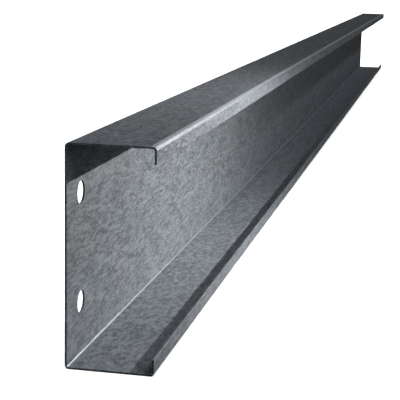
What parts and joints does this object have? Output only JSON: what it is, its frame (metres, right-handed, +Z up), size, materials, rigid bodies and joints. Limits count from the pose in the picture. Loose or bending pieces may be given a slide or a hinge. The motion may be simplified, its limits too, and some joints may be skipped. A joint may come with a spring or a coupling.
{
  "type": "c purlin",
  "caption": "Cold-rolled lipped C section purlin in galvanised steel, with bolt holes through the web near each end.",
  "frame": {"origin": "under the middle of the length and of the flange width, on the underside of the lower flange", "axes": "+X along the length, +Y out of the back of the web, +Z up from the lower flange to the upper one; the open side faces -Y"},
  "size_m": [3, 0.069, 0.172],
  "materials": {
    "galvanised_steel": "hot-dip galvanised, mid grey, faint mottling"
  },
  "bodies": {
    "root": {"purlin": "galvanised_steel"}
  },
  "joints": []
}
